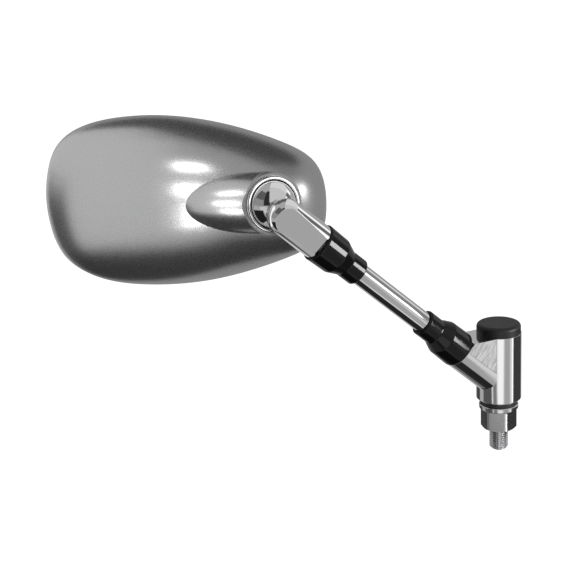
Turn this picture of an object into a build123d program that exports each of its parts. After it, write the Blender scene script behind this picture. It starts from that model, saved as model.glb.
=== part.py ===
"""Motorcycle mirror: egg-shaped head on a ball joint, chrome stem and a base that swivels on an M10 stud."""
from build123d import *
import math
import os

# Frame: Z is the stud axis, Z = 0 is the seat of the hex on the handlebar perch, and the arm lies in the XZ
# plane and leaves towards -X. The socket of the head opens towards -Y and a little upwards. Sizes are in
# millimetres and degrees.

# Fits
press_gap = 0.02
slide_gap = 0.1
ball_gap = 0.3
cover_gap = 0.3

# Mounting stud and the washers on it
thread_d = 10.0
thread_length = 12.5
thread_chamfer = 1.2
hex_across = 17.0
hex_height = 11.3
hex_turn = 22.0
hex_corner_angle = 30.0
spindle_d = 10.0
flange_washer_d = 21.0
flange_washer_t = 2.6
friction_washer_d = 20.0
friction_washer_t = 2.4
washer_edge = 0.4

# Base casting
base_d = 24.0
base_height = 37.7
base_edge = 1.2
arm_rise = 42.1
arm_root_height = 10.0
boss_d = 19.0
boss_length = 34.0
web_width = 18.8
web_fillet = 1.6

# Swivel parts inside the base
bush_d = 14.0
lower_bush_length = 12.0
upper_bush_length = 10.0
well_d = 18.0
well_depth = 11.2
top_washer_t = 1.2
disc_spring_t = 0.8
disc_spring_rise = 0.6
disc_spring_d = 17.0
pivot_nut_across = 15.0
pivot_nut_height = 5.0
stud_tail = 0.6

# Rubber cap
cap_height = 5.3
cap_inset = 0.35
cap_round = 2.0
cap_plug_depth = 1.4

# Stem and its lock nuts
stem_d = 11.0
stem_thread_d = 8.0
stem_bore_d = 5.0
stem_engagement = 12.0
stem_shoulder_gap = 1.0
tap_relief = 1.0
lock_nut_across = 13.0
lock_nut_height = 4.5
span_between_nuts = 99.3

# Cover collars
collar_mouth_r = 9.95
collar_shoulder_r = 9.55
collar_neck_r = 7.0
collar_length = 28.4
collar_barrel = 12.8
collar_cone = 6.4
collar_mouth_round = 1.0
collar_tip_round = 0.8
collar_bend_round = 3.0
upper_collar_overlap = 6.0

# Neck casting
bar_d = 18.2
bar_length = 27.4
spigot_d = 16.2
flat_at_tip = 6.6
flat_at_face = 8.45
flat_turn = 12.0
flat_edge = 0.7
neck_post_d = 13.7

# Ball joint
ball_d = 24.6
ball_below_bar = 17.1
ball_side_step = -0.1
ball_rise = 3.3
socket_lift = 6.0
liner_t = 1.0
liner_start = 113.0
liner_end = 142.0
ring_d = 27.5
ring_top = 4.6
ring_foot = 0.9
ring_round = 0.7
mouth_step = 1.0
follower_hole_d = 17.4
follower_front = 5.5
follower_back = 12.4
cup_spring_t = 0.7
cup_spring_height = 1.6
cup_spring_d = 25.5
plate_t = 1.6
plate_d = 31.0
plate_hole_d = 11.0
plate_ear_d = 8.0
screw_circle_d = 37.4
screw_count = 2
screw_d = 3.0
screw_length = 8.0
screw_head_d = 5.6
screw_head_h = 1.8
screw_first_angle = 0.0

# Head shell
head_turn = 26.0
head_width = 143.0
head_height = 87.65
head_depth = 31.0
head_wall = 2.4
head_flatness = 2.9
ball_from_centre_x = 44.85
ball_from_centre_z = 3.5
ball_above_rim = 31.45
end_face_height = 2.9
end_face_d = 30.2
nose_flare = 1.0
nose_depth = 20.0
sleeve_wall = 2.4
screw_post_d = 6.4
fairing_length = 37.0
fairing_straight = 8.0
fairing_d = 30.0
fairing_dip = 33.0
fairing_lift = 1.5
fairing_sink = 4.6
rim_lip = 2.8
seat_depth = 7.6
seat_ledge = 2.6
ledge_t = 1.8

# Mirror glass, its pad and its holder
glass_radius = 1200.0
glass_t = 2.5
glass_crown = 0.2
glass_gap = 0.4
pad_t = 0.8
holder_t = 1.8
skirt_t = 1.8

# Outline of the head as shares of its half width and half height
head_outline = [
    (-0.995, -0.063), (-0.960, 0.456), (-0.896, 0.689), (-0.378, 1.012), (0.128, 0.949), (0.693, 0.649),
    (0.935, 0.377), (1.002, -0.121), (0.947, -0.483), (0.675, -0.741), (0.104, -0.960), (-0.350, -0.970),
    (-0.735, -0.812), (-0.906, -0.579),
]
dome_steps = 8
dome_last_angle = 87.0

# Heights on the stud axis
friction_z = hex_height + flange_washer_t
base_z = friction_z + friction_washer_t
base_top = base_z + base_height
well_z = base_top - well_depth
disc_spring_height = disc_spring_t + disc_spring_rise
disc_spring_z = well_z + top_washer_t
pivot_nut_z = disc_spring_z + 2 * disc_spring_height

# The arm axis climbs from the stud axis towards the head
rise = math.radians(arm_rise)
arm_dir = Vector(-math.cos(rise), 0, math.sin(rise))
arm_up = Vector(math.sin(rise), 0, math.cos(rise))
arm_root = Vector(0, 0, base_z + arm_root_height)
arm = Plane(origin=arm_root, x_dir=arm_up, z_dir=arm_dir).location

# Stations along the arm axis
neck_face = boss_length + span_between_nuts
bar_tip_station = neck_face + bar_length
upper_mouth = neck_face + upper_collar_overlap
boss_end = arm_root + arm_dir * boss_length
web_corner = boss_end + arm_up * ((base_top - boss_end.Z) / arm_up.Z)

# The ball lies behind the tip of the bar, and the socket of the head opens along ball_axis
lift = math.radians(socket_lift)
ball_axis = Vector(0, -math.cos(lift), math.sin(lift))
bar_tip = arm_root + arm_dir * bar_tip_station
ball_centre = bar_tip + Vector(ball_side_step, ball_below_bar, ball_rise)
ball = Plane(origin=ball_centre, x_dir=(1, 0, 0), z_dir=ball_axis).location
ball_r = ball_d / 2
liner_inner = ball_r + ball_gap
liner_outer = liner_inner + liner_t
bore_r = liner_outer + ball_gap + slide_gap
spring_z = -follower_back - cup_spring_height
plate_z = spring_z - plate_t
screw_angles = [screw_first_angle + i * 360 / screw_count for i in range(screw_count)]

# The rim plane of the head is turned from the socket, with local Z towards the back of the head
turn = math.radians(head_turn)
head_across = Vector(math.cos(turn), -math.sin(turn), 0)
head_back = Vector(-math.sin(turn), -math.cos(turn), 0)
rim_point = ball_centre - head_back * ball_above_rim
head_centre = rim_point - head_across * ball_from_centre_x - Vector(0, 0, ball_from_centre_z)
head = Plane(origin=head_centre, x_dir=head_across, z_dir=head_back).location


def turned(*corners):
    """Solid of revolution about Z through corners given as radius and height."""
    return revolve(Plane.XZ * make_face(Polyline(*corners, close=True)), Axis.Z)


def rod(radius, start, stop):
    """Round bar on Z between two heights."""
    return Pos(0, 0, start) * Cylinder(radius, stop - start, align=(Align.CENTER, Align.CENTER, Align.MIN))


def washer(outer, inner, start, stop):
    """Flat washer on Z with broken outer edges."""
    return turned(
        (inner, start), (outer - washer_edge, start), (outer, start + washer_edge),
        (outer, stop - washer_edge), (outer - washer_edge, stop), (inner, stop))


def hexagon(across, height, turn_angle=0.0):
    """Hexagon prism on Z, its corners turned off at both ends."""
    corner = across / math.sqrt(3)
    cut = (corner - across / 2) * math.tan(math.radians(hex_corner_angle))
    prism = Rot(0, 0, turn_angle) * extrude(RegularPolygon(corner, 6), height)
    return prism & turned(
        (0, 0), (across / 2, 0), (corner, cut), (corner, height - cut), (across / 2, height), (0, height))


def nut(across, height, hole):
    """Hexagon nut on Z with a plain bore."""
    return hexagon(across, height) - rod(hole, 0, height)


def dished(outer, inner, thickness, dish):
    """Disc spring: a shallow cone of even thickness with its wide side down."""
    return turned((outer, 0), (outer, thickness), (inner, thickness + dish), (inner, dish))


def group(pieces):
    """Loose pieces of one kind kept together as separate solids."""
    return Compound([solid for piece in pieces for solid in piece.solids()])


def mount_stud():
    """Turned stud: M10 shank below the hex, plain spindle above it."""
    top = pivot_nut_z + pivot_nut_height + stud_tail
    shank = turned(
        (0, -thread_length), (thread_d / 2 - thread_chamfer, -thread_length),
        (thread_d / 2, thread_chamfer - thread_length), (thread_d / 2, 0),
        (spindle_d / 2, hex_height), (spindle_d / 2, top), (0, top))
    return shank + hexagon(hex_across, hex_height, hex_turn)


def on_spindle(outer, start, stop):
    """Washer that runs on the spindle."""
    return washer(outer, spindle_d / 2 + slide_gap, start, stop)


def swivel_springs():
    """Pair of disc springs stacked mouth to mouth under the pivot nut."""
    disc = dished(disc_spring_d / 2, spindle_d / 2 + slide_gap, disc_spring_t, disc_spring_rise)
    lower = Pos(0, 0, disc_spring_z) * disc
    upper = Pos(0, 0, pivot_nut_z) * Rot(180, 0, 0) * disc
    return group([lower, upper])


def pivot_nut():
    """Self-locking nut that sets the friction of the swivel."""
    return Pos(0, 0, pivot_nut_z) * nut(pivot_nut_across, pivot_nut_height, spindle_d / 2 + slide_gap)


def bush(start, length):
    """Plain bearing bush between the spindle and the casting."""
    tube = rod(bush_d / 2 - press_gap, start, start + length)
    return tube - rod(spindle_d / 2 + slide_gap, start, start + length)


def base_casting():
    """Upright barrel and angled boss, joined by a full web with flat sides and a level top."""
    barrel = turned(
        (0, base_z), (base_d / 2 - base_edge, base_z), (base_d / 2, base_z + base_edge),
        (base_d / 2, base_top), (0, base_top))
    boss = arm * rod(boss_d / 2, 0, boss_length)
    side = make_face(Polyline(
        (0, arm_root.Z), (0, base_top), (web_corner.X, web_corner.Z), (boss_end.X, boss_end.Z), close=True))
    plan = Circle(base_d / 2 - slide_gap) + Pos(-boss_length, 0) * Rectangle(2 * boss_length, web_width)
    plan = fillet([corner for corner in plan.vertices() if -base_d / 2 < corner.X < 0], web_fillet)
    web = Pos(0, 0, base_z) * extrude(plan, base_height) & extrude(Plane.XZ * side, base_d, both=True)
    body = barrel + boss + web
    body -= rod(2 * boss_length, base_top, base_top + boss_length)
    body -= rod(bush_d / 2, base_z, well_z)
    body -= rod(well_d / 2, well_z, base_top)
    return body - arm * rod(
        stem_thread_d / 2 + slide_gap, boss_length - stem_engagement - tap_relief, boss_length)


def rubber_cap():
    """Moulded plug: round cover on the barrel with a spigot in the spring well."""
    cover = rod(base_d / 2 - cap_inset, base_top, base_top + cap_height)
    cover = fillet(cover.edges().group_by(Axis.Z)[-1], cap_round)
    return cover + rod(well_d / 2 - press_gap, base_top - cap_plug_depth, base_top)


def stem_tube():
    """Bored stem, turned down at both ends for the threads."""
    lower = boss_length + lock_nut_height + stem_shoulder_gap
    upper = neck_face - lock_nut_height - stem_shoulder_gap
    start = boss_length - stem_engagement
    stop = neck_face + stem_engagement
    return arm * turned(
        (stem_bore_d / 2, start), (stem_thread_d / 2, start), (stem_thread_d / 2, lower), (stem_d / 2, lower),
        (stem_d / 2, upper), (stem_thread_d / 2, upper), (stem_thread_d / 2, stop), (stem_bore_d / 2, stop))


def lock_nut(start):
    """Thin nut on a thread of the stem."""
    return arm * Pos(0, 0, start) * nut(lock_nut_across, lock_nut_height, stem_thread_d / 2 + press_gap)


def collar(well):
    """Stepped cover with its wide mouth at height 0: barrel, cone and narrow end."""
    well_r = spigot_d / 2 + cover_gap
    hole_r = stem_d / 2 + cover_gap
    cone_end = collar_barrel + collar_cone
    profile = make_face(Polyline(
        (well_r, 0), (collar_mouth_r, 0), (collar_shoulder_r, collar_barrel), (collar_neck_r, cone_end),
        (collar_neck_r, collar_length), (hole_r, collar_length), (hole_r, well), (well_r, well), close=True))
    for corner, radius in (
        ((collar_mouth_r, 0), collar_mouth_round),
        ((collar_shoulder_r, collar_barrel), collar_bend_round),
        ((collar_neck_r, cone_end), collar_bend_round),
        ((collar_neck_r, collar_length), collar_tip_round),
    ):
        profile = fillet(profile.vertices().sort_by_distance(corner)[0], radius)
    return revolve(Plane.XZ * profile, Axis.Z)


def lower_collar():
    """Cover over the lower lock nut, seated on the end of the boss."""
    well = lock_nut_height + stem_shoulder_gap
    return arm * Pos(0, 0, boss_length) * collar(well)


def upper_collar():
    """Cover over the upper lock nut, with the end of the neck in its mouth."""
    well = upper_collar_overlap + lock_nut_height + stem_shoulder_gap
    return arm * Pos(0, 0, upper_mouth) * Rot(180, 0, 0) * collar(well)


def neck():
    """Neck casting: spigot in the collar, round bar with a tapering flat, a short post and the ball."""
    bar_start = upper_mouth + cover_gap
    bar = rod(bar_d / 2, bar_start, bar_tip_station) + Pos(0, 0, bar_tip_station) * Sphere(bar_d / 2)
    to_bar = bar_tip - ball_centre
    post = Plane(origin=ball_centre, z_dir=to_bar).location * rod(neck_post_d / 2, 0, to_bar.length)
    lean = math.radians(flat_turn)
    flat_out = ball_axis * math.cos(lean) - arm_up * math.sin(lean)
    flat_side = arm_up * math.cos(lean) + ball_axis * math.sin(lean)
    tip_point = bar_tip + flat_out * flat_at_tip
    face_point = arm_root + arm_dir * neck_face + flat_out * flat_at_face
    along = (face_point - tip_point).normalized()
    flat = Plane(origin=tip_point, x_dir=along, z_dir=along.cross(flat_side))
    above = (Align.CENTER, Align.CENTER, Align.MIN)
    waste = flat.location * Box(4 * bar_length, 2 * bar_d, bar_d, align=above)
    body = arm * bar + post - waste
    flat_face = body.faces().sort_by(lambda face: flat.to_local_coords(face.center()).Z)[-1]
    body = fillet(flat_face.edges(), flat_edge)
    body += Pos(*ball_centre) * Sphere(ball_r)
    body += arm * rod(spigot_d / 2, neck_face, bar_start)
    tapped_end = neck_face + stem_engagement + tap_relief
    return body - arm * rod(stem_thread_d / 2 + slide_gap, neck_face, tapped_end)


def on_sphere(radius, height):
    """Distance from the axis of a point at this height on a sphere."""
    return math.sqrt(radius ** 2 - height ** 2)


def socket_liner():
    """Moulded liner: a zone of a sphere behind the ball."""
    sweep = liner_end - liner_start
    inner = CenterArc((0, 0), liner_inner, 90 - liner_end, sweep)
    outer = CenterArc((0, 0), liner_outer, 90 - liner_end, sweep)
    profile = make_face([inner, Line(inner @ 1, outer @ 1), outer, Line(inner @ 0, outer @ 0)])
    return ball * revolve(Plane.XZ * profile, Axis.Z)


def socket_ring():
    """Polished ring that keeps the ball in the socket."""
    radius = ball_r + ball_gap
    foot = (on_sphere(radius, ring_foot), ring_foot)
    top = (on_sphere(radius, ring_top), ring_top)
    middle_height = (ring_foot + ring_top) / 2
    seat = ThreePointArc(foot, (on_sphere(radius, middle_height), middle_height), top)
    rest = Polyline(top, (ring_d / 2, ring_top), (ring_d / 2, ring_foot), foot)
    profile = make_face([seat, rest])
    profile = fillet(profile.vertices().group_by(Axis.Y)[-1], ring_round)
    return ball * revolve(Plane.XZ * profile, Axis.Z)


def follower_cup():
    """Cup that presses the liner onto the ball."""
    radius = liner_outer + ball_gap
    hole = follower_hole_d / 2
    top = (on_sphere(radius, follower_front), -follower_front)
    low = (hole, -on_sphere(radius, hole))
    middle_height = (top[1] + low[1]) / 2
    seat = ThreePointArc(top, (on_sphere(radius, middle_height), middle_height), low)
    side = bore_r - cover_gap
    rest = Polyline(low, (hole, -follower_back), (side, -follower_back), (side, -follower_front), top)
    return ball * revolve(Plane.XZ * make_face([seat, rest]), Axis.Z)


def cup_spring():
    """Disc spring between the follower cup and the pressure plate."""
    disc = dished(cup_spring_d / 2, follower_hole_d / 2, cup_spring_t, cup_spring_height - cup_spring_t)
    return ball * Pos(0, 0, spring_z) * disc


def pressure_plate():
    """Pressed plate with one ear for each screw."""
    reach = screw_circle_d / 2
    plan = Circle(plate_d / 2)
    for angle in screw_angles:
        arm_strip = Pos(reach / 2, 0) * Rectangle(reach, plate_ear_d)
        plan += Rot(0, 0, angle) * (arm_strip + Pos(reach, 0) * Circle(plate_ear_d / 2))
    plan -= Circle(plate_hole_d / 2)
    for angle in screw_angles:
        plan -= Rot(0, 0, angle) * Pos(reach, 0) * Circle(screw_d / 2 + slide_gap)
    return ball * Pos(0, 0, plate_z) * extrude(plan, plate_t)


def at_screws(piece):
    """Copies of a piece at every screw of the pressure plate, in the frame of the ball."""
    return [ball * Rot(0, 0, angle) * Pos(screw_circle_d / 2, 0, plate_z) * piece for angle in screw_angles]


def plate_screws():
    """Pan head screws that hold the pressure plate to the posts of the shell."""
    screw = turned(
        (0, -screw_head_h), (screw_head_d / 2 - washer_edge, -screw_head_h),
        (screw_head_d / 2, washer_edge - screw_head_h), (screw_head_d / 2, 0),
        (screw_d / 2, 0), (screw_d / 2, screw_length), (0, screw_length))
    return group(at_screws(screw))


def outline(inset, scale=1.0):
    """Egg outline in the rim plane, drawn in by an inset and scaled about its middle."""
    half_width = (head_width / 2 - inset) * scale
    half_height = (head_height / 2 - inset) * scale
    return make_face(Spline([(u * half_width, v * half_height) for u, v in head_outline], periodic=True))


def slab(inset, start, stop):
    """Egg-shaped prism between two depths behind the rim plane."""
    return Pos(0, 0, start) * extrude(outline(inset), stop - start)


def dome(inset, depth):
    """Egg-shaped dome from the rim plane: the outline shrinks on a rounded, flat-topped curve."""
    sections = []
    for step in range(dome_steps + 1):
        angle = math.radians(dome_last_angle * step / dome_steps)
        scale = math.cos(angle) ** (2 / head_flatness)
        sections.append(Pos(0, 0, depth * math.sin(angle)) * outline(inset, scale))
    return loft(sections)


def fairing():
    """Bullet-shaped fairing that runs from the nose of the socket into the back of the head."""
    upper_half = Pos(0, fairing_d / 2) * Rectangle(4 * fairing_length, fairing_d)
    tip = Pos(-fairing_straight, 0) * Ellipse(fairing_length, fairing_d / 2)
    straight = Pos(-fairing_straight / 2, 0) * Rectangle(fairing_straight, fairing_d)
    bullet = revolve((tip + straight) & upper_half, Axis.X)
    start = ball_centre - ball_axis * fairing_sink
    bullet = Pos(*start) * Rot(0, 0, -fairing_dip) * Rot(0, fairing_lift, 0) * bullet
    reach = 3 * fairing_length
    behind_face = Box(reach, reach, reach, align=(Align.MAX, Align.CENTER, Align.MAX))
    return bullet & ball * Pos(0, 0, end_face_height) * behind_face


def head_shell():
    """Moulded shell: domed back, nose with the ball socket, sleeve and posts inside, ledge for the glass."""
    end_r = end_face_d / 2
    flare_r = end_r + (nose_depth + end_face_height) * math.tan(math.radians(nose_flare))
    nose = ball * turned(
        (0, -nose_depth), (flare_r, -nose_depth), (end_r, end_face_height), (0, end_face_height))
    solid_head = head * dome(0, head_depth) + fairing()
    rim_side = head * slab(-head_width, 0, 2 * head_width)
    solid_head += nose & rim_side
    inside = ball * rod(bore_r + sleeve_wall, spring_z, 0)
    for post in at_screws(rod(screw_post_d / 2, plate_t, -plate_z)):
        inside += post
    ledge = head * (slab(0, seat_depth, seat_depth + ledge_t)
                    - slab(rim_lip + seat_ledge, seat_depth, seat_depth + ledge_t))
    shell = solid_head - head * dome(head_wall, head_depth - head_wall)
    shell += (inside + ledge) & solid_head
    shell -= head * slab(rim_lip, 0, seat_depth)
    shell -= ball * rod(bore_r, spring_z, -mouth_step)
    shell -= ball * rod(liner_inner + slide_gap, -mouth_step, ring_foot)
    shell -= ball * rod(ring_d / 2 + press_gap, ring_foot, end_face_height)
    screw_hole = rod(screw_d / 2 + press_gap, plate_t, screw_length + tap_relief)
    ear_pocket = rod(plate_ear_d / 2 + cover_gap, -screw_head_h, plate_t)
    for cut in at_screws(screw_hole + ear_pocket):
        shell -= cut
    return shell


def crowned(inset, depth, thickness):
    """Egg-shaped sheet of even thickness, crowned with the curve of the glass."""
    middle = Pos(0, 0, glass_radius - glass_crown)
    sheet = middle * Sphere(glass_radius - depth) - middle * Sphere(glass_radius - depth - thickness)
    return slab(inset, -glass_crown, seat_depth) & sheet


def mirror_glass():
    """Convex mirror glass."""
    return head * crowned(rim_lip + glass_gap, 0, glass_t)


def glass_pad():
    """Foam pad that bonds the glass to its holder."""
    return head * crowned(rim_lip + glass_gap, glass_t, pad_t)


def glass_holder():
    """Moulded holder: crowned plate with a skirt that stands on the ledge of the shell."""
    inset = rim_lip + glass_gap
    front = glass_t + pad_t
    skirt = slab(inset, 0, seat_depth) - slab(inset + skirt_t, 0, seat_depth)
    skirt &= Pos(0, 0, glass_radius - glass_crown) * Sphere(glass_radius - front)
    return head * (crowned(inset, front, holder_t) + skirt)


pieces = {
    "mount_stud": mount_stud(),
    "flange_washer": on_spindle(flange_washer_d / 2, hex_height, friction_z),
    "friction_washer": on_spindle(friction_washer_d / 2, friction_z, base_z),
    "base_casting": base_casting(),
    "lower_bush": bush(base_z, lower_bush_length),
    "upper_bush": bush(well_z - upper_bush_length, upper_bush_length),
    "top_washer": on_spindle(well_d / 2 - cover_gap, well_z, disc_spring_z),
    "swivel_springs": swivel_springs(),
    "pivot_nut": pivot_nut(),
    "rubber_cap": rubber_cap(),
    "stem_tube": stem_tube(),
    "lower_lock_nut": lock_nut(boss_length),
    "upper_lock_nut": lock_nut(neck_face - lock_nut_height),
    "lower_collar": lower_collar(),
    "upper_collar": upper_collar(),
    "neck": neck(),
    "socket_liner": socket_liner(),
    "socket_ring": socket_ring(),
    "follower_cup": follower_cup(),
    "cup_spring": cup_spring(),
    "pressure_plate": pressure_plate(),
    "plate_screws": plate_screws(),
    "head_shell": head_shell(),
    "glass_holder": glass_holder(),
    "glass_pad": glass_pad(),
    "mirror_glass": mirror_glass(),
}

os.makedirs("parts", exist_ok=True)
for name, piece in pieces.items():
    export_step(piece, f"parts/{name}.step")
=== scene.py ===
import bpy
import math
import numpy as np
from mathutils import Matrix, Vector


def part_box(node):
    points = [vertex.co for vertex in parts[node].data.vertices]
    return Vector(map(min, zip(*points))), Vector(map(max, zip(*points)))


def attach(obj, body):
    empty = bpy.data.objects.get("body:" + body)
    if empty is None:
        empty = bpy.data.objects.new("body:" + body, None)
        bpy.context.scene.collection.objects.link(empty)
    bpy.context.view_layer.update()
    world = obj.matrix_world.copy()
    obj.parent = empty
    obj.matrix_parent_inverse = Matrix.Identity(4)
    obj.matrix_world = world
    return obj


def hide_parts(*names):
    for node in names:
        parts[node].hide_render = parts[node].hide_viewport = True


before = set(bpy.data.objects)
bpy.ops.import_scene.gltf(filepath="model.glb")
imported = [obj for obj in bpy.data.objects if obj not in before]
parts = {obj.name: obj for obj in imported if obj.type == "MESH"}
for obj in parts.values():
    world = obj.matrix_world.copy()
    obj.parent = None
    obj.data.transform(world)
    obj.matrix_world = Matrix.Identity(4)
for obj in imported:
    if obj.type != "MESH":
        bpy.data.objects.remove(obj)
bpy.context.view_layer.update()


# Mounting stud: one steel bar with a rolled M10 thread below, a 17 mm hexagon with its corners turned off,
# and the plain spindle that the base swivels on. It is the only piece that the handlebar perch holds.
MM = 0.001
thread_r = 5.0 * MM
thread_pitch = 1.25 * MM
thread_depth = 0.65 * MM
thread_chamfer = 1.2 * MM
thread_rows = 16
thread_flank = 1.3
thread_crest = 0.15
hex_flat_r = 8.5 * MM
hex_corner_r = 9.6 * MM
hex_height = 11.3 * MM
hex_turn = math.radians(22.0)
hex_corner_angle = math.radians(30.0)
stud_columns = 120
crease_angle = math.radians(28.0)


def closed_skin(name, rings):
    """Mesh of a closed skin: rings of points stacked from one end to the other, the first and last drawn to a
    point on the axis. Neighbouring rings are joined by quads, and both ends by fans."""
    count, columns = rings.shape[:2]
    corner = np.arange(count * columns).reshape(count, columns)
    after = np.roll(corner, -1, axis=1)
    quads = np.stack([corner[:-1], after[:-1], after[1:], corner[1:]], axis=-1).reshape(-1, 4)
    low_end = np.full(columns, count * columns)
    high_end = low_end + 1
    fans = np.concatenate([
        np.stack([low_end, after[0], corner[0]], axis=-1),
        np.stack([high_end, corner[-1], after[-1]], axis=-1)])
    points = np.concatenate([rings.reshape(-1, 3), rings[[0, -1]].mean(axis=1)])
    mesh = bpy.data.meshes.new(name)
    mesh.from_pydata(points.tolist(), [], quads.tolist() + fans.tolist())
    mesh.shade_smooth()
    mesh.set_sharp_from_angle(angle=crease_angle)
    skin = bpy.data.objects.new(name, mesh)
    bpy.context.scene.collection.objects.link(skin)
    return skin


def stud_rings(low, high):
    """Radius and height for every angle. On the thread the radius falls and climbs once a pitch, a little later
    at each angle, and stays inside the end chamfer. On the hexagon it is the distance to the flat, and the
    height of the rows moves so that the turned corner is a row of its own."""
    angle = hex_turn + np.arange(stud_columns) / stud_columns * math.tau
    turns = int(round(-low / thread_pitch))
    height = np.linspace(low, 0.0, turns * thread_rows + 1)[:, None] + 0.0 * angle
    wave = np.abs(2.0 * np.mod(height / thread_pitch - angle / math.tau, 1.0) - 1.0)
    radius = thread_r - thread_depth * np.clip(thread_flank * wave - thread_crest, 0.0, 1.0)
    radius = np.minimum(radius, thread_r - thread_chamfer + height - low)
    from_flat = np.mod(angle - hex_turn, math.pi / 3) - math.pi / 6
    hex_r = np.minimum(hex_flat_r / np.cos(from_flat), hex_corner_r)
    corner_drop = (hex_r - hex_flat_r) * math.tan(hex_corner_angle)
    level = 0.0 * angle
    rows = [
        (level + thread_r, level), (level + hex_flat_r, level), (hex_r, corner_drop),
        (hex_r, hex_height - corner_drop), (level + hex_flat_r, level + hex_height),
        (level + thread_r, level + hex_height), (level + thread_r, level + high)]
    radius = np.concatenate([radius, [row[0] for row in rows]])
    height = np.concatenate([height, [row[1] for row in rows]])
    return np.stack([radius * np.cos(angle), radius * np.sin(angle), height], axis=-1)


grain_detail = 3.0
grain_low = 0.3
grain_high = 0.7
edge_samples = 6


def finish(name, colour, metallic, roughness, grain, bump, turn=(0.0, 0.0, 0.0), edge=0.0):
    """Surface finish: the roughness wanders between two values over grains of the given size along three axes,
    the same grains stand up from the surface by the bump height, and sharp edges look rounded by the edge
    radius."""
    material = bpy.data.materials.new(name)
    material.use_nodes = True
    nodes = material.node_tree.nodes
    link = material.node_tree.links.new
    shader = nodes["Principled BSDF"]
    shader.inputs["Base Color"].default_value = (*colour, 1.0)
    shader.inputs["Metallic"].default_value = metallic
    place = nodes.new("ShaderNodeTexCoord")
    grains = nodes.new("ShaderNodeMapping")
    grains.vector_type = "TEXTURE"
    grains.inputs["Rotation"].default_value = turn
    grains.inputs["Scale"].default_value = grain
    noise = nodes.new("ShaderNodeTexNoise")
    noise.inputs["Scale"].default_value = 1.0
    noise.inputs["Detail"].default_value = grain_detail
    spread = nodes.new("ShaderNodeMapRange")
    spread.inputs["From Min"].default_value = grain_low
    spread.inputs["From Max"].default_value = grain_high
    spread.inputs["To Min"].default_value = roughness[0]
    spread.inputs["To Max"].default_value = roughness[1]
    relief = nodes.new("ShaderNodeBump")
    relief.inputs["Strength"].default_value = 1.0
    relief.inputs["Distance"].default_value = bump
    link(place.outputs["Object"], grains.inputs["Vector"])
    link(grains.outputs["Vector"], noise.inputs["Vector"])
    link(noise.outputs["Fac"], spread.inputs["Value"])
    link(spread.outputs["Result"], shader.inputs["Roughness"])
    link(noise.outputs["Fac"], relief.inputs["Height"])
    link(relief.outputs["Normal"], shader.inputs["Normal"])
    if edge > 0.0:
        rounded = nodes.new("ShaderNodeBevel")
        rounded.samples = edge_samples
        rounded.inputs["Radius"].default_value = edge
        link(rounded.outputs["Normal"], relief.inputs["Normal"])
    return material


def dress(material, *names):
    """Gives one finish to CAD nodes."""
    for name in names:
        parts[name].data.materials.clear()
        parts[name].data.materials.append(material)


steel = finish(
    "bright_steel", (0.66, 0.66, 0.67), 1.0, (0.10, 0.22), (0.9 * MM, 0.9 * MM, 0.12 * MM), 0.003 * MM)
stud_low, stud_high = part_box("mount_stud")
stud = closed_skin("threaded_stud", stud_rings(stud_low[2], stud_high[2]))
stud.data.materials.append(steel)
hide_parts("mount_stud")
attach(stud, "stud")


# Flange washer and the swivel stack: bright washer on the hexagon, steel washer, two disc springs and the
# self-locking nut that pulls the base down on the stud. All are plated steel.
dress(steel, "flange_washer", "top_washer", "swivel_springs", "pivot_nut")


# Friction washer: moulded nylon ring, coloured near black. It lies in the groove under the base and lets the
# casting slide on the flange washer.
nylon = finish("nylon", (0.022, 0.022, 0.024), 0.0, (0.35, 0.55), (0.6 * MM,) * 3, 0.004 * MM)
dress(nylon, "friction_washer")


# Base casting: barrel, web and angled boss cast in zinc, ground, polished and chromed. The polish leaves slow
# waves in the barrel, and the flat sides of the web keep fine slanting marks of the belt that ground them.
chrome_colour = (0.80, 0.80, 0.81)
chrome = finish("chrome", chrome_colour, 1.0, (0.03, 0.07), (9.0 * MM,) * 3, 0.012 * MM)
web_half = 9.4 * MM
web_end_x = -7.6 * MM
flat_margin = 0.02 * MM
stroke_detail = 2.0
worn_low = 0.42
worn_high = 0.60
mix_first = 6
mix_second = 7
mix_result = 2
cast_chrome = finish(
    "cast_chrome", chrome_colour, 1.0, (0.04, 0.09), (5.0 * MM, 5.0 * MM, 11.0 * MM), 0.018 * MM,
    edge=0.3 * MM)


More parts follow.
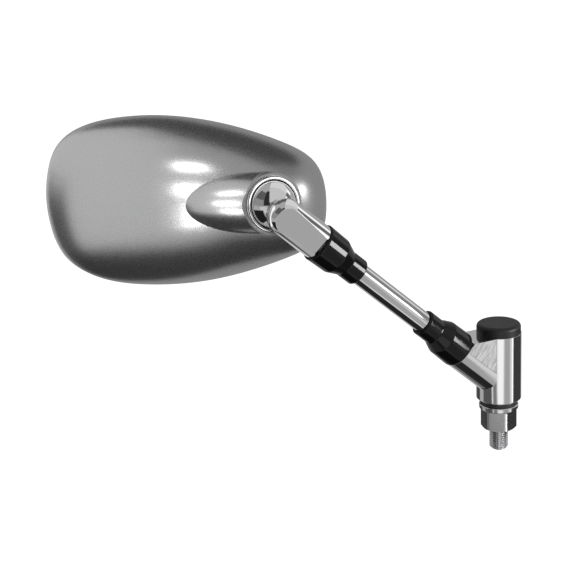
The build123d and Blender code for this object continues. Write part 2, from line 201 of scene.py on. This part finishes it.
def belt_marks(material, half, end_x, turn, grain, bump, roughness, worn):
    """Marks of a grinding belt on the two flats that lie at plus and minus half in y and end at end_x: long
    thin grains that stand up by the bump height, add to the roughness there and take the worn tone in their
    middles."""
    nodes = material.node_tree.nodes
    link = material.node_tree.links.new
    shader = nodes["Principled BSDF"]
    place = nodes.new("ShaderNodeTexCoord")
    axes = nodes.new("ShaderNodeSeparateXYZ")
    sideways = nodes.new("ShaderNodeMath")
    sideways.operation = "ABSOLUTE"
    on_flat = nodes.new("ShaderNodeMath")
    on_flat.operation = "COMPARE"
    on_flat.inputs[1].default_value = half
    on_flat.inputs[2].default_value = flat_margin
    behind = nodes.new("ShaderNodeMath")
    behind.operation = "LESS_THAN"
    behind.inputs[1].default_value = end_x
    ground = nodes.new("ShaderNodeMath")
    ground.operation = "MULTIPLY"
    strokes = nodes.new("ShaderNodeMapping")
    strokes.vector_type = "TEXTURE"
    strokes.inputs["Rotation"].default_value = turn
    strokes.inputs["Scale"].default_value = grain
    noise = nodes.new("ShaderNodeTexNoise")
    noise.inputs["Scale"].default_value = 1.0
    noise.inputs["Detail"].default_value = stroke_detail
    marked = nodes.new("ShaderNodeMath")
    marked.operation = "MULTIPLY"
    duller = nodes.new("ShaderNodeMath")
    duller.operation = "MULTIPLY_ADD"
    duller.inputs[1].default_value = roughness
    relief = nodes.new("ShaderNodeBump")
    relief.inputs["Distance"].default_value = bump
    middles = nodes.new("ShaderNodeMapRange")
    middles.inputs["From Min"].default_value = worn_low
    middles.inputs["From Max"].default_value = worn_high
    tone = nodes.new("ShaderNodeMix")
    tone.data_type = "RGBA"
    tone.inputs[mix_first].default_value = shader.inputs["Base Color"].default_value
    tone.inputs[mix_second].default_value = (*worn, 1.0)
    link(place.outputs["Object"], axes.inputs["Vector"])
    link(axes.outputs["Y"], sideways.inputs[0])
    link(sideways.outputs["Value"], on_flat.inputs[0])
    link(axes.outputs["X"], behind.inputs[0])
    link(on_flat.outputs["Value"], ground.inputs[0])
    link(behind.outputs["Value"], ground.inputs[1])
    link(place.outputs["Object"], strokes.inputs["Vector"])
    link(strokes.outputs["Vector"], noise.inputs["Vector"])
    link(noise.outputs["Fac"], marked.inputs[0])
    link(ground.outputs["Value"], marked.inputs[1])
    link(marked.outputs["Value"], duller.inputs[0])
    link(shader.inputs["Roughness"].links[0].from_socket, duller.inputs[2])
    link(shader.inputs["Normal"].links[0].from_socket, relief.inputs["Normal"])
    link(marked.outputs["Value"], relief.inputs["Height"])
    link(duller.outputs["Value"], shader.inputs["Roughness"])
    link(relief.outputs["Normal"], shader.inputs["Normal"])
    link(marked.outputs["Value"], middles.inputs["Value"])
    link(middles.outputs["Result"], tone.inputs[0])
    link(tone.outputs[mix_result], shader.inputs["Base Color"])


worn_chrome = (0.58, 0.58, 0.59)
belt_slant = math.radians(38.0)
belt_marks(
    cast_chrome, web_half, web_end_x, (0.0, belt_slant, 0.0), (0.7 * MM, 4.0 * MM, 5.0 * MM), 0.03 * MM, 0.3,
    worn_chrome)
dress(cast_chrome, "base_casting")


# Swivel bushes: two plain bushes of sintered bronze, pressed into the barrel of the base casting. They run
# on the spindle of the stud.
bronze = finish("bush_bronze", (0.42, 0.27, 0.13), 1.0, (0.25, 0.42), (0.3 * MM,) * 3, 0.006 * MM)
dress(bronze, "lower_bush", "upper_bush")


# Rubber cap: black rubber cap with the dull skin of a fine spark finish in its mould. It is pushed into the
# top of the barrel and closes the spring well.
rubber = finish("cap_rubber", (0.0045, 0.0045, 0.005), 0.0, (0.38, 0.55), (0.30 * MM,) * 3, 0.012 * MM)
dress(rubber, "rubber_cap")


# Stem tube and its lock nuts: drawn steel tube, turned down and threaded at both ends, polished along its
# length and chromed. A thin steel nut locks each end.
stem_rise = math.radians(42.1)
stem_chrome = finish(
    "stem_chrome", chrome_colour, 1.0, (0.02, 0.06), (0.25 * MM, 0.25 * MM, 20.0 * MM), 0.0001 * MM,
    (0.0, stem_rise - math.pi / 2, 0.0))
dress(stem_chrome, "stem_tube")
dress(steel, "lower_lock_nut", "upper_lock_nut")


# Cover collars: two stepped covers moulded in black, glossy as they leave the mould. They are pushed over
# the lock nuts and hide them.
black_gloss = finish("black_gloss", (0.006, 0.006, 0.0065), 0.0, (0.05, 0.11), (2.5 * MM,) * 3, 0.0015 * MM)
gloss_shine = 0.3
black_gloss.node_tree.nodes["Principled BSDF"].inputs["Specular IOR Level"].default_value = gloss_shine
dress(black_gloss, "lower_collar", "upper_collar")


# Neck: bar with a tapering flat, post and ball in one casting, polished to a mirror and chromed. It screws
# onto the stem and carries the head on its ball.
dress(chrome, "neck")


# Ball socket: polished ring round the mouth, nylon liner and cup, disc spring, pressed steel plate and two
# screws. The screws pull the plate down on the spring, which presses liner and cup onto the ball.
dress(chrome, "socket_ring")
dress(nylon, "socket_liner", "follower_cup")
dress(steel, "cup_spring", "pressure_plate", "plate_screws")


# Head shell: egg-shaped shell moulded in one piece with its nose and fairing, plated and then blasted to a
# fine satin.
satin = finish("satin_silver", (0.62, 0.62, 0.625), 1.0, (0.24, 0.34), (0.55 * MM,) * 3, 0.015 * MM)
dress(satin, "head_shell")


# Mirror glass: convex glass silvered on its face. It is stuck with a foam pad to a moulded black holder,
# which closes the open side of the shell.
holder_black = finish("holder_black", (0.020, 0.020, 0.020), 0.0, (0.40, 0.52), (0.5 * MM,) * 3, 0.006 * MM)
foam = finish("foam", (0.10, 0.10, 0.10), 0.0, (0.80, 0.95), (0.4 * MM,) * 3, 0.05 * MM)
silvered = finish("mirror", (0.90, 0.91, 0.91), 1.0, (0.004, 0.012), (25.0 * MM,) * 3, 0.0004 * MM)
dress(holder_black, "glass_holder")
dress(foam, "glass_pad")
dress(silvered, "mirror_glass")


def sphere_centre(points):
    """Centre of the sphere that fits points best: the squared distances of all points from it are made
    equal."""
    sums = np.column_stack([2.0 * points, np.ones(len(points))])
    return np.linalg.lstsq(sums, (points ** 2).sum(axis=1), rcond=None)[0][:3]


same_way = 0.95


def true_sphere(material, mesh, facing):
    """Lets the silvering reflect like the ground sphere itself: its normals point away from the centre of the
    sphere through the face that looks the given way."""
    normals = np.empty(3 * len(mesh.polygons))
    mesh.polygons.foreach_get("normal", normals)
    corners = np.empty(3 * len(mesh.vertices))
    mesh.vertices.foreach_get("co", corners)
    starts = np.empty(len(mesh.polygons), dtype=np.int32)
    mesh.polygons.foreach_get("loop_start", starts)
    ends = np.empty(len(mesh.loops), dtype=np.int32)
    mesh.loops.foreach_get("vertex_index", ends)
    on_face = normals.reshape(-1, 3) @ np.array(facing) > same_way
    centre = sphere_centre(corners.reshape(-1, 3)[ends[starts[on_face]]])
    nodes = material.node_tree.nodes
    link = material.node_tree.links.new
    place = nodes.new("ShaderNodeTexCoord")
    outward = nodes.new("ShaderNodeVectorMath")
    outward.operation = "SUBTRACT"
    outward.inputs[1].default_value = centre
    turned = nodes.new("ShaderNodeVectorTransform")
    turned.vector_type = "NORMAL"
    turned.convert_from = "OBJECT"
    turned.convert_to = "WORLD"
    relief = nodes["Bump"]
    link(place.outputs["Object"], outward.inputs[0])
    link(outward.outputs["Vector"], turned.inputs["Vector"])
    link(turned.outputs["Vector"], relief.inputs["Normal"])


rim_turn = math.radians(26.0)
glass_facing = (math.sin(rim_turn), math.cos(rim_turn), 0.0)
true_sphere(silvered, parts["mirror_glass"].data, glass_facing)


# Floor and room: pale floor well below the held part, and a white room round it. Rays that look at them see
# white, and the light that they cast on the part is lower, so that the part keeps its own shades.
floor_z = -0.45
floor_half = 6.0
room_cast = 0.40
floor_glow = 0.80
corners = [(x * floor_half, y * floor_half, floor_z) for x, y in ((-1, -1), (1, -1), (1, 1), (-1, 1))]


def seen_by_eye(nodes, link):
    """One for camera, glossy and transmission rays, zero for the rays that carry cast light."""
    path = nodes.new("ShaderNodeLightPath")
    either = nodes.new("ShaderNodeMath")
    either.operation = "MAXIMUM"
    seen = nodes.new("ShaderNodeMath")
    seen.operation = "MAXIMUM"
    link(path.outputs["Is Camera Ray"], either.inputs[0])
    link(path.outputs["Is Glossy Ray"], either.inputs[1])
    link(either.outputs["Value"], seen.inputs[0])
    link(path.outputs["Is Transmission Ray"], seen.inputs[1])
    return seen.outputs["Value"]


def between(nodes, link, value, low, high):
    """Value from 0 to 1 spread between two levels."""
    level = nodes.new("ShaderNodeMapRange")
    level.inputs["To Min"].default_value = low
    level.inputs["To Max"].default_value = high
    link(value, level.inputs["Value"])
    return level.outputs["Result"]


def place_on_stage(name, mesh):
    """Object that belongs to the studio and not to the part."""
    thing = bpy.data.objects.new(name, mesh)
    bpy.context.scene.collection.objects.link(thing)
    return thing


room = bpy.data.worlds.new("white_room")
bpy.context.scene.world = room
room.use_nodes = True
room_nodes = room.node_tree.nodes
room_link = room.node_tree.links.new
room_nodes["Background"].inputs["Color"].default_value = (1.0, 1.0, 1.0, 1.0)
room_level = between(room_nodes, room_link, seen_by_eye(room_nodes, room_link), room_cast, 1.0)
room_link(room_level, room_nodes["Background"].inputs["Strength"])

floor_mesh = bpy.data.meshes.new("floor")
floor_mesh.from_pydata(corners, [], [(0, 1, 2, 3)])
place_on_stage("floor", floor_mesh)
pale = bpy.data.materials.new("pale_floor")
pale.use_nodes = True
pale_nodes = pale.node_tree.nodes
pale_link = pale.node_tree.links.new
pale_shader = pale_nodes["Principled BSDF"]
pale_shader.inputs["Base Color"].default_value = (0.80, 0.80, 0.80, 1.0)
pale_shader.inputs["Roughness"].default_value = 0.9
pale_shader.inputs["Emission Color"].default_value = (1.0, 1.0, 1.0, 1.0)
pale_glow = between(pale_nodes, pale_link, seen_by_eye(pale_nodes, pale_link), 0.0, floor_glow)
pale_link(pale_glow, pale_shader.inputs["Emission Strength"])
floor_mesh.materials.append(pale)


# Light tents: cloth round the part with pale, grey and dark sheets, which only shows in reflections. Head,
# neck, ring and all other pieces have a tent each, which lights them alone. A sheet is its left and right
# azimuth, its low and high elevation and its soft edge, all in degrees, and its shade.
tent_centre = np.array([-0.09, 0.02, 0.09])
tent_columns = 360
tent_rows = 180
tent_pole = 89.5


def sheet(azimuth, elevation, left, right, low, high, soft):
    """One inside the rectangle between two azimuths and two elevations, falling to zero over a soft edge."""
    half_width = (right - left) / 2
    from_middle = np.abs(np.mod(azimuth - left - half_width + 180.0, 360.0) - 180.0)
    across = np.clip((half_width - from_middle) / soft + 0.5, 0.0, 1.0)
    above = np.clip((elevation - low) / soft + 0.5, 0.0, 1.0)
    below = np.clip((high - elevation) / soft + 0.5, 0.0, 1.0)
    return across * (above * below)


def levels(azimuth, elevation, cloth, sheets):
    """Brightness of the cloth: one level all round, then sheet after sheet laid over it."""
    level = np.full_like(azimuth, cloth)
    for left, right, low, high, soft, shade in sheets:
        level = level + (shade - level) * sheet(azimuth, elevation, left, right, low, high, soft)
    return level


def light_only(thing, name, pieces):
    """Keeps the light of a tent or lamp to the pieces named."""
    lit = bpy.data.collections.new(name + "_pieces")
    for piece in pieces:
        lit.objects.link(piece)
    thing.light_linking.receiver_collection = lit


def tent(name, reach, drop, cloth, sheets, pieces, inner):
    """Closed tent round the part: a ball of the given reach, cut off flat at the bottom sheet. Its cloth glows
    by the level of its sheets, and an inner tent lets the eye through to the outer one."""
    turn, rise = np.meshgrid(
        np.arange(tent_columns) / tent_columns * 360.0, np.linspace(-tent_pole, tent_pole, tent_rows))
    climb = np.radians(rise)
    away = np.where(np.sin(climb) < -drop / reach, -drop / np.sin(climb), reach)
    heading = np.radians(turn)
    points = tent_centre + np.stack([
        away * np.cos(climb) * np.cos(heading), away * np.cos(climb) * np.sin(heading),
        away * np.sin(climb)], axis=-1)
    skin = closed_skin(name, points)
    skin.data.shade_smooth()
    ends = levels(np.zeros(2), np.array([-90.0, 90.0]), cloth, sheets)
    shade = skin.data.attributes.new("shade", "FLOAT", "POINT")
    shade.data.foreach_set("value", np.concatenate([levels(turn, rise, cloth, sheets).ravel(), ends]))
    fabric = bpy.data.materials.new(name + "_cloth")
    fabric.use_nodes = True
    nodes = fabric.node_tree.nodes
    link = fabric.node_tree.links.new
    nodes.remove(nodes["Principled BSDF"])
    level = nodes.new("ShaderNodeAttribute")
    level.attribute_name = "shade"
    glow = nodes.new("ShaderNodeEmission")
    clear = nodes.new("ShaderNodeBsdfTransparent")
    clear.inputs["Color"].default_value = (inner, inner, inner, 1.0)
    both = nodes.new("ShaderNodeAddShader")
    link(level.outputs["Fac"], glow.inputs["Strength"])
    link(glow.outputs["Emission"], both.inputs[0])
    link(clear.outputs["BSDF"], both.inputs[1])
    link(both.outputs["Shader"], nodes["Material Output"].inputs["Surface"])
    fabric.cycles.emission_sampling = "NONE"
    skin.data.materials.append(fabric)
    skin.visible_camera = False
    skin.visible_diffuse = False
    skin.visible_shadow = False
    skin.visible_transmission = False
    light_only(skin, name, pieces)


head = parts["head_shell"]
own_tent = ("head_shell", "neck", "socket_ring")
others = [stud] + [piece for name, piece in parts.items() if name not in own_tent]
tent("satin_tent", 1.5, 0.44, 0.36, (
    (100, 240, -27, 80, 12, 0.68),
    (118, 170, -70, 0, 12, 0.10),
    (330, 455, 43, 95, 8, 0.07),
    (240, 292, 36, 72, 8, 0.42),
    (292, 330, 30, 60, 8, 0.24),
    (292, 330, 56, 95, 8, 0.08),
    (66, 104, 34, 60, 6, 0.08),
    (100, 400, -95, -32, 12, 0.05),
    (36, 100, -84, -40, 8, 0.36),
), [head], 0.0)
tent("chrome_tent", 1.4, 0.42, 0.45, (
    (226, 330, 20, 95, 6, 0.60),
    (152, 206, -40, 40, 4, 0.10),
    (206, 214, -45, -5, 3, 0.75),
    (214, 230, -40, 40, 4, 0.24),
    (236, 268, -36, 12, 10, 1.10),
    (274, 299, -60, -2, 8, 0.42),
    (299, 309, -44, -12, 3, 0.74),
    (309, 317, -32, -18, 2, 1.30),
    (318, 382, -60, -14, 3, 0.05),
    (321, 353, 0, 24, 4, 0.25),
    (354, 374, 8, 26, 4, 0.78),
    (376, 402, -2, 18, 4, 0.34),
    (404, 418, -20, 0, 3, 0.72),
    (84, 122, -36, 12, 4, 0.06),
    (0, 360, -95, -61, 3, 0.02),
    (262, 280, -61, -53, 3, 0.80),
    (38, 76, -76, -66, 4, 0.20),
    (225, 238, -42, -28, 2, 0.22),
), others, 1.0)
tent("neck_tent", 1.3, 0.40, 0.45, (
    (240, 345, 24, 95, 4, 0.65),
    (345, 420, 27, 95, 4, 0.78),
    (213, 241, 6, 70, 3, 0.03),
    (165, 213, 28, 62, 4, 0.12),
    (150, 213, 2, 28, 4, 0.30),
    (198, 226, -24, 2, 3, 0.65),
    (150, 212, -64, -14, 3, 0.015),
    (118, 150, -30, 42, 3, 1.20),
    (62, 118, -45, 62, 3, 0.12),
    (0, 16, 16, 31, 3, 1.20),
    (16, 62, 0, 28, 4, 0.42),
    (60, 78, -26, -4, 3, 1.20),
    (78, 102, -50, -26, 3, 0.65),
    (102, 130, -64, -44, 3, 0.10),
    (130, 205, -74, -63, 3, 0.45),
    (240, 262, -50, -26, 3, 0.65),
    (262, 284, -60, -29, 3, 0.03),
    (262, 290, -27, 2, 4, 0.44),
    (289, 312, -6, 13, 2, 1.30),
    (312, 337, 7, 24, 2, 1.30),
    (338, 358, 6, 30, 3, 0.16),
    (286, 356, -64, -9, 3, 0.04),
), [parts["neck"]], 1.0)
tent("ring_tent", 1.2, 0.38, 0.10, (
    (272, 312, -20, 16, 4, 2.60),
    (200, 262, 34, 95, 6, 0.80),
    (20, 70, 10, 60, 6, 0.90),
    (120, 176, -30, 30, 6, 0.70),
), [parts["socket_ring"]], 1.0)


# Softboxes: three small strips close to the head, which shine on it alone, one box to the right with its
# own size and strength for black, bright and satin pieces, and one box for the stud. None lights the neck
# or the ring.
def aim(azimuth, elevation):
    """Unit vector from the part towards an azimuth and an elevation in degrees."""
    flat = math.cos(math.radians(elevation))
    return Vector((
        flat * math.cos(math.radians(azimuth)), flat * math.sin(math.radians(azimuth)),
        math.sin(math.radians(elevation))))


def softbox(name, place, target, along, length, depth, radiance):
    """Lamp facing a target, with its long side along a direction and a radiance on a scale where white is
    one."""
    facing = (place - target).normalized()
    short_side = facing.cross(along).normalized()
    long_side = short_side.cross(facing)
    lamp = bpy.data.lights.new(name, "AREA")
    lamp.shape = "RECTANGLE"
    lamp.size = length
    lamp.size_y = depth
    lamp.energy = radiance * math.pi * length * depth
    box = bpy.data.objects.new(name, lamp)
    turned = Matrix((long_side, short_side, facing)).transposed().to_4x4()
    box.matrix_world = Matrix.Translation(place) @ turned
    box.visible_camera = False
    bpy.context.scene.collection.objects.link(box)
    return box


strip_along = aim(336.7, 0.0)
for name, place, target, length, depth, radiance in (
    ("high_strip", (-0.165, 0.006, 0.175), (-0.146, 0.028, 0.150), 0.022, 0.011, 4.0),
    ("middle_strip", (-0.171, 0.000, 0.146), (-0.147, 0.027, 0.142), 0.022, 0.011, 4.0),
    ("low_strip", (-0.1736, -0.0080, 0.1213), (-0.147, 0.026, 0.132), 0.020, 0.011, 5.0),
):
    box = softbox(name, Vector(place), Vector(target), strip_along, length, depth, radiance)
    light_only(box, name, [head])
right_target = Vector((-0.09, 0.01, 0.11))
right_box_away = 1.1
right_place = right_target + aim(315, 2.5) * right_box_away
right_along = aim(325, 10) - aim(305, -6)
black_pieces = [parts[name] for name in ("lower_collar", "upper_collar", "rubber_cap", "friction_washer")]
bright_pieces = [piece for piece in others if piece not in black_pieces]
for name, pieces, length, depth, radiance in (
    ("right_box_on_black", black_pieces, 0.46, 0.27, 20.0),
    ("right_box_on_chrome", bright_pieces, 0.36, 0.27, 1.6),
    ("right_box_on_satin", [head], 0.20, 0.16, 8.0),
):
    box = softbox(name, right_place, right_target, right_along, length, depth, radiance)
    light_only(box, name, pieces)
stud_target = Vector((0.0, 0.0, 0.0))
stud_box_away = 0.5
stud_place = stud_target + aim(288, -27) * stud_box_away
stud_box = softbox("stud_box", stud_place, stud_target, aim(18, 0), 0.10, 0.10, 10.0)
light_only(stud_box, "stud_box", [stud])


# Camera: behind the back of the head, to its left and a little above, turned a few degrees about its own
# axis. Its place and lens come from fitting the stud, the arm and the rim of the head.
eye = Vector((-0.33933, -0.50308, 0.26814))
view_azimuth = math.radians(246.66)
view_elevation = math.radians(16.884)
view_roll = math.radians(-3.129)
focal_pixels = 1196.0
frame_pixels = 567.0
sensor = 36.0
camera_data = bpy.data.cameras.new("camera")
camera_data.sensor_width = sensor
camera_data.lens = focal_pixels / frame_pixels * sensor
camera = bpy.data.objects.new("camera", camera_data)
bpy.context.scene.collection.objects.link(camera)
camera.matrix_world = (
    Matrix.Translation(eye) @ Matrix.Rotation(view_azimuth + math.pi / 2, 4, "Z")
    @ Matrix.Rotation(math.pi / 2 - view_elevation, 4, "X") @ Matrix.Rotation(view_roll, 4, "Z"))
bpy.context.scene.camera = camera
bpy.context.scene.view_settings.view_transform = "Standard"
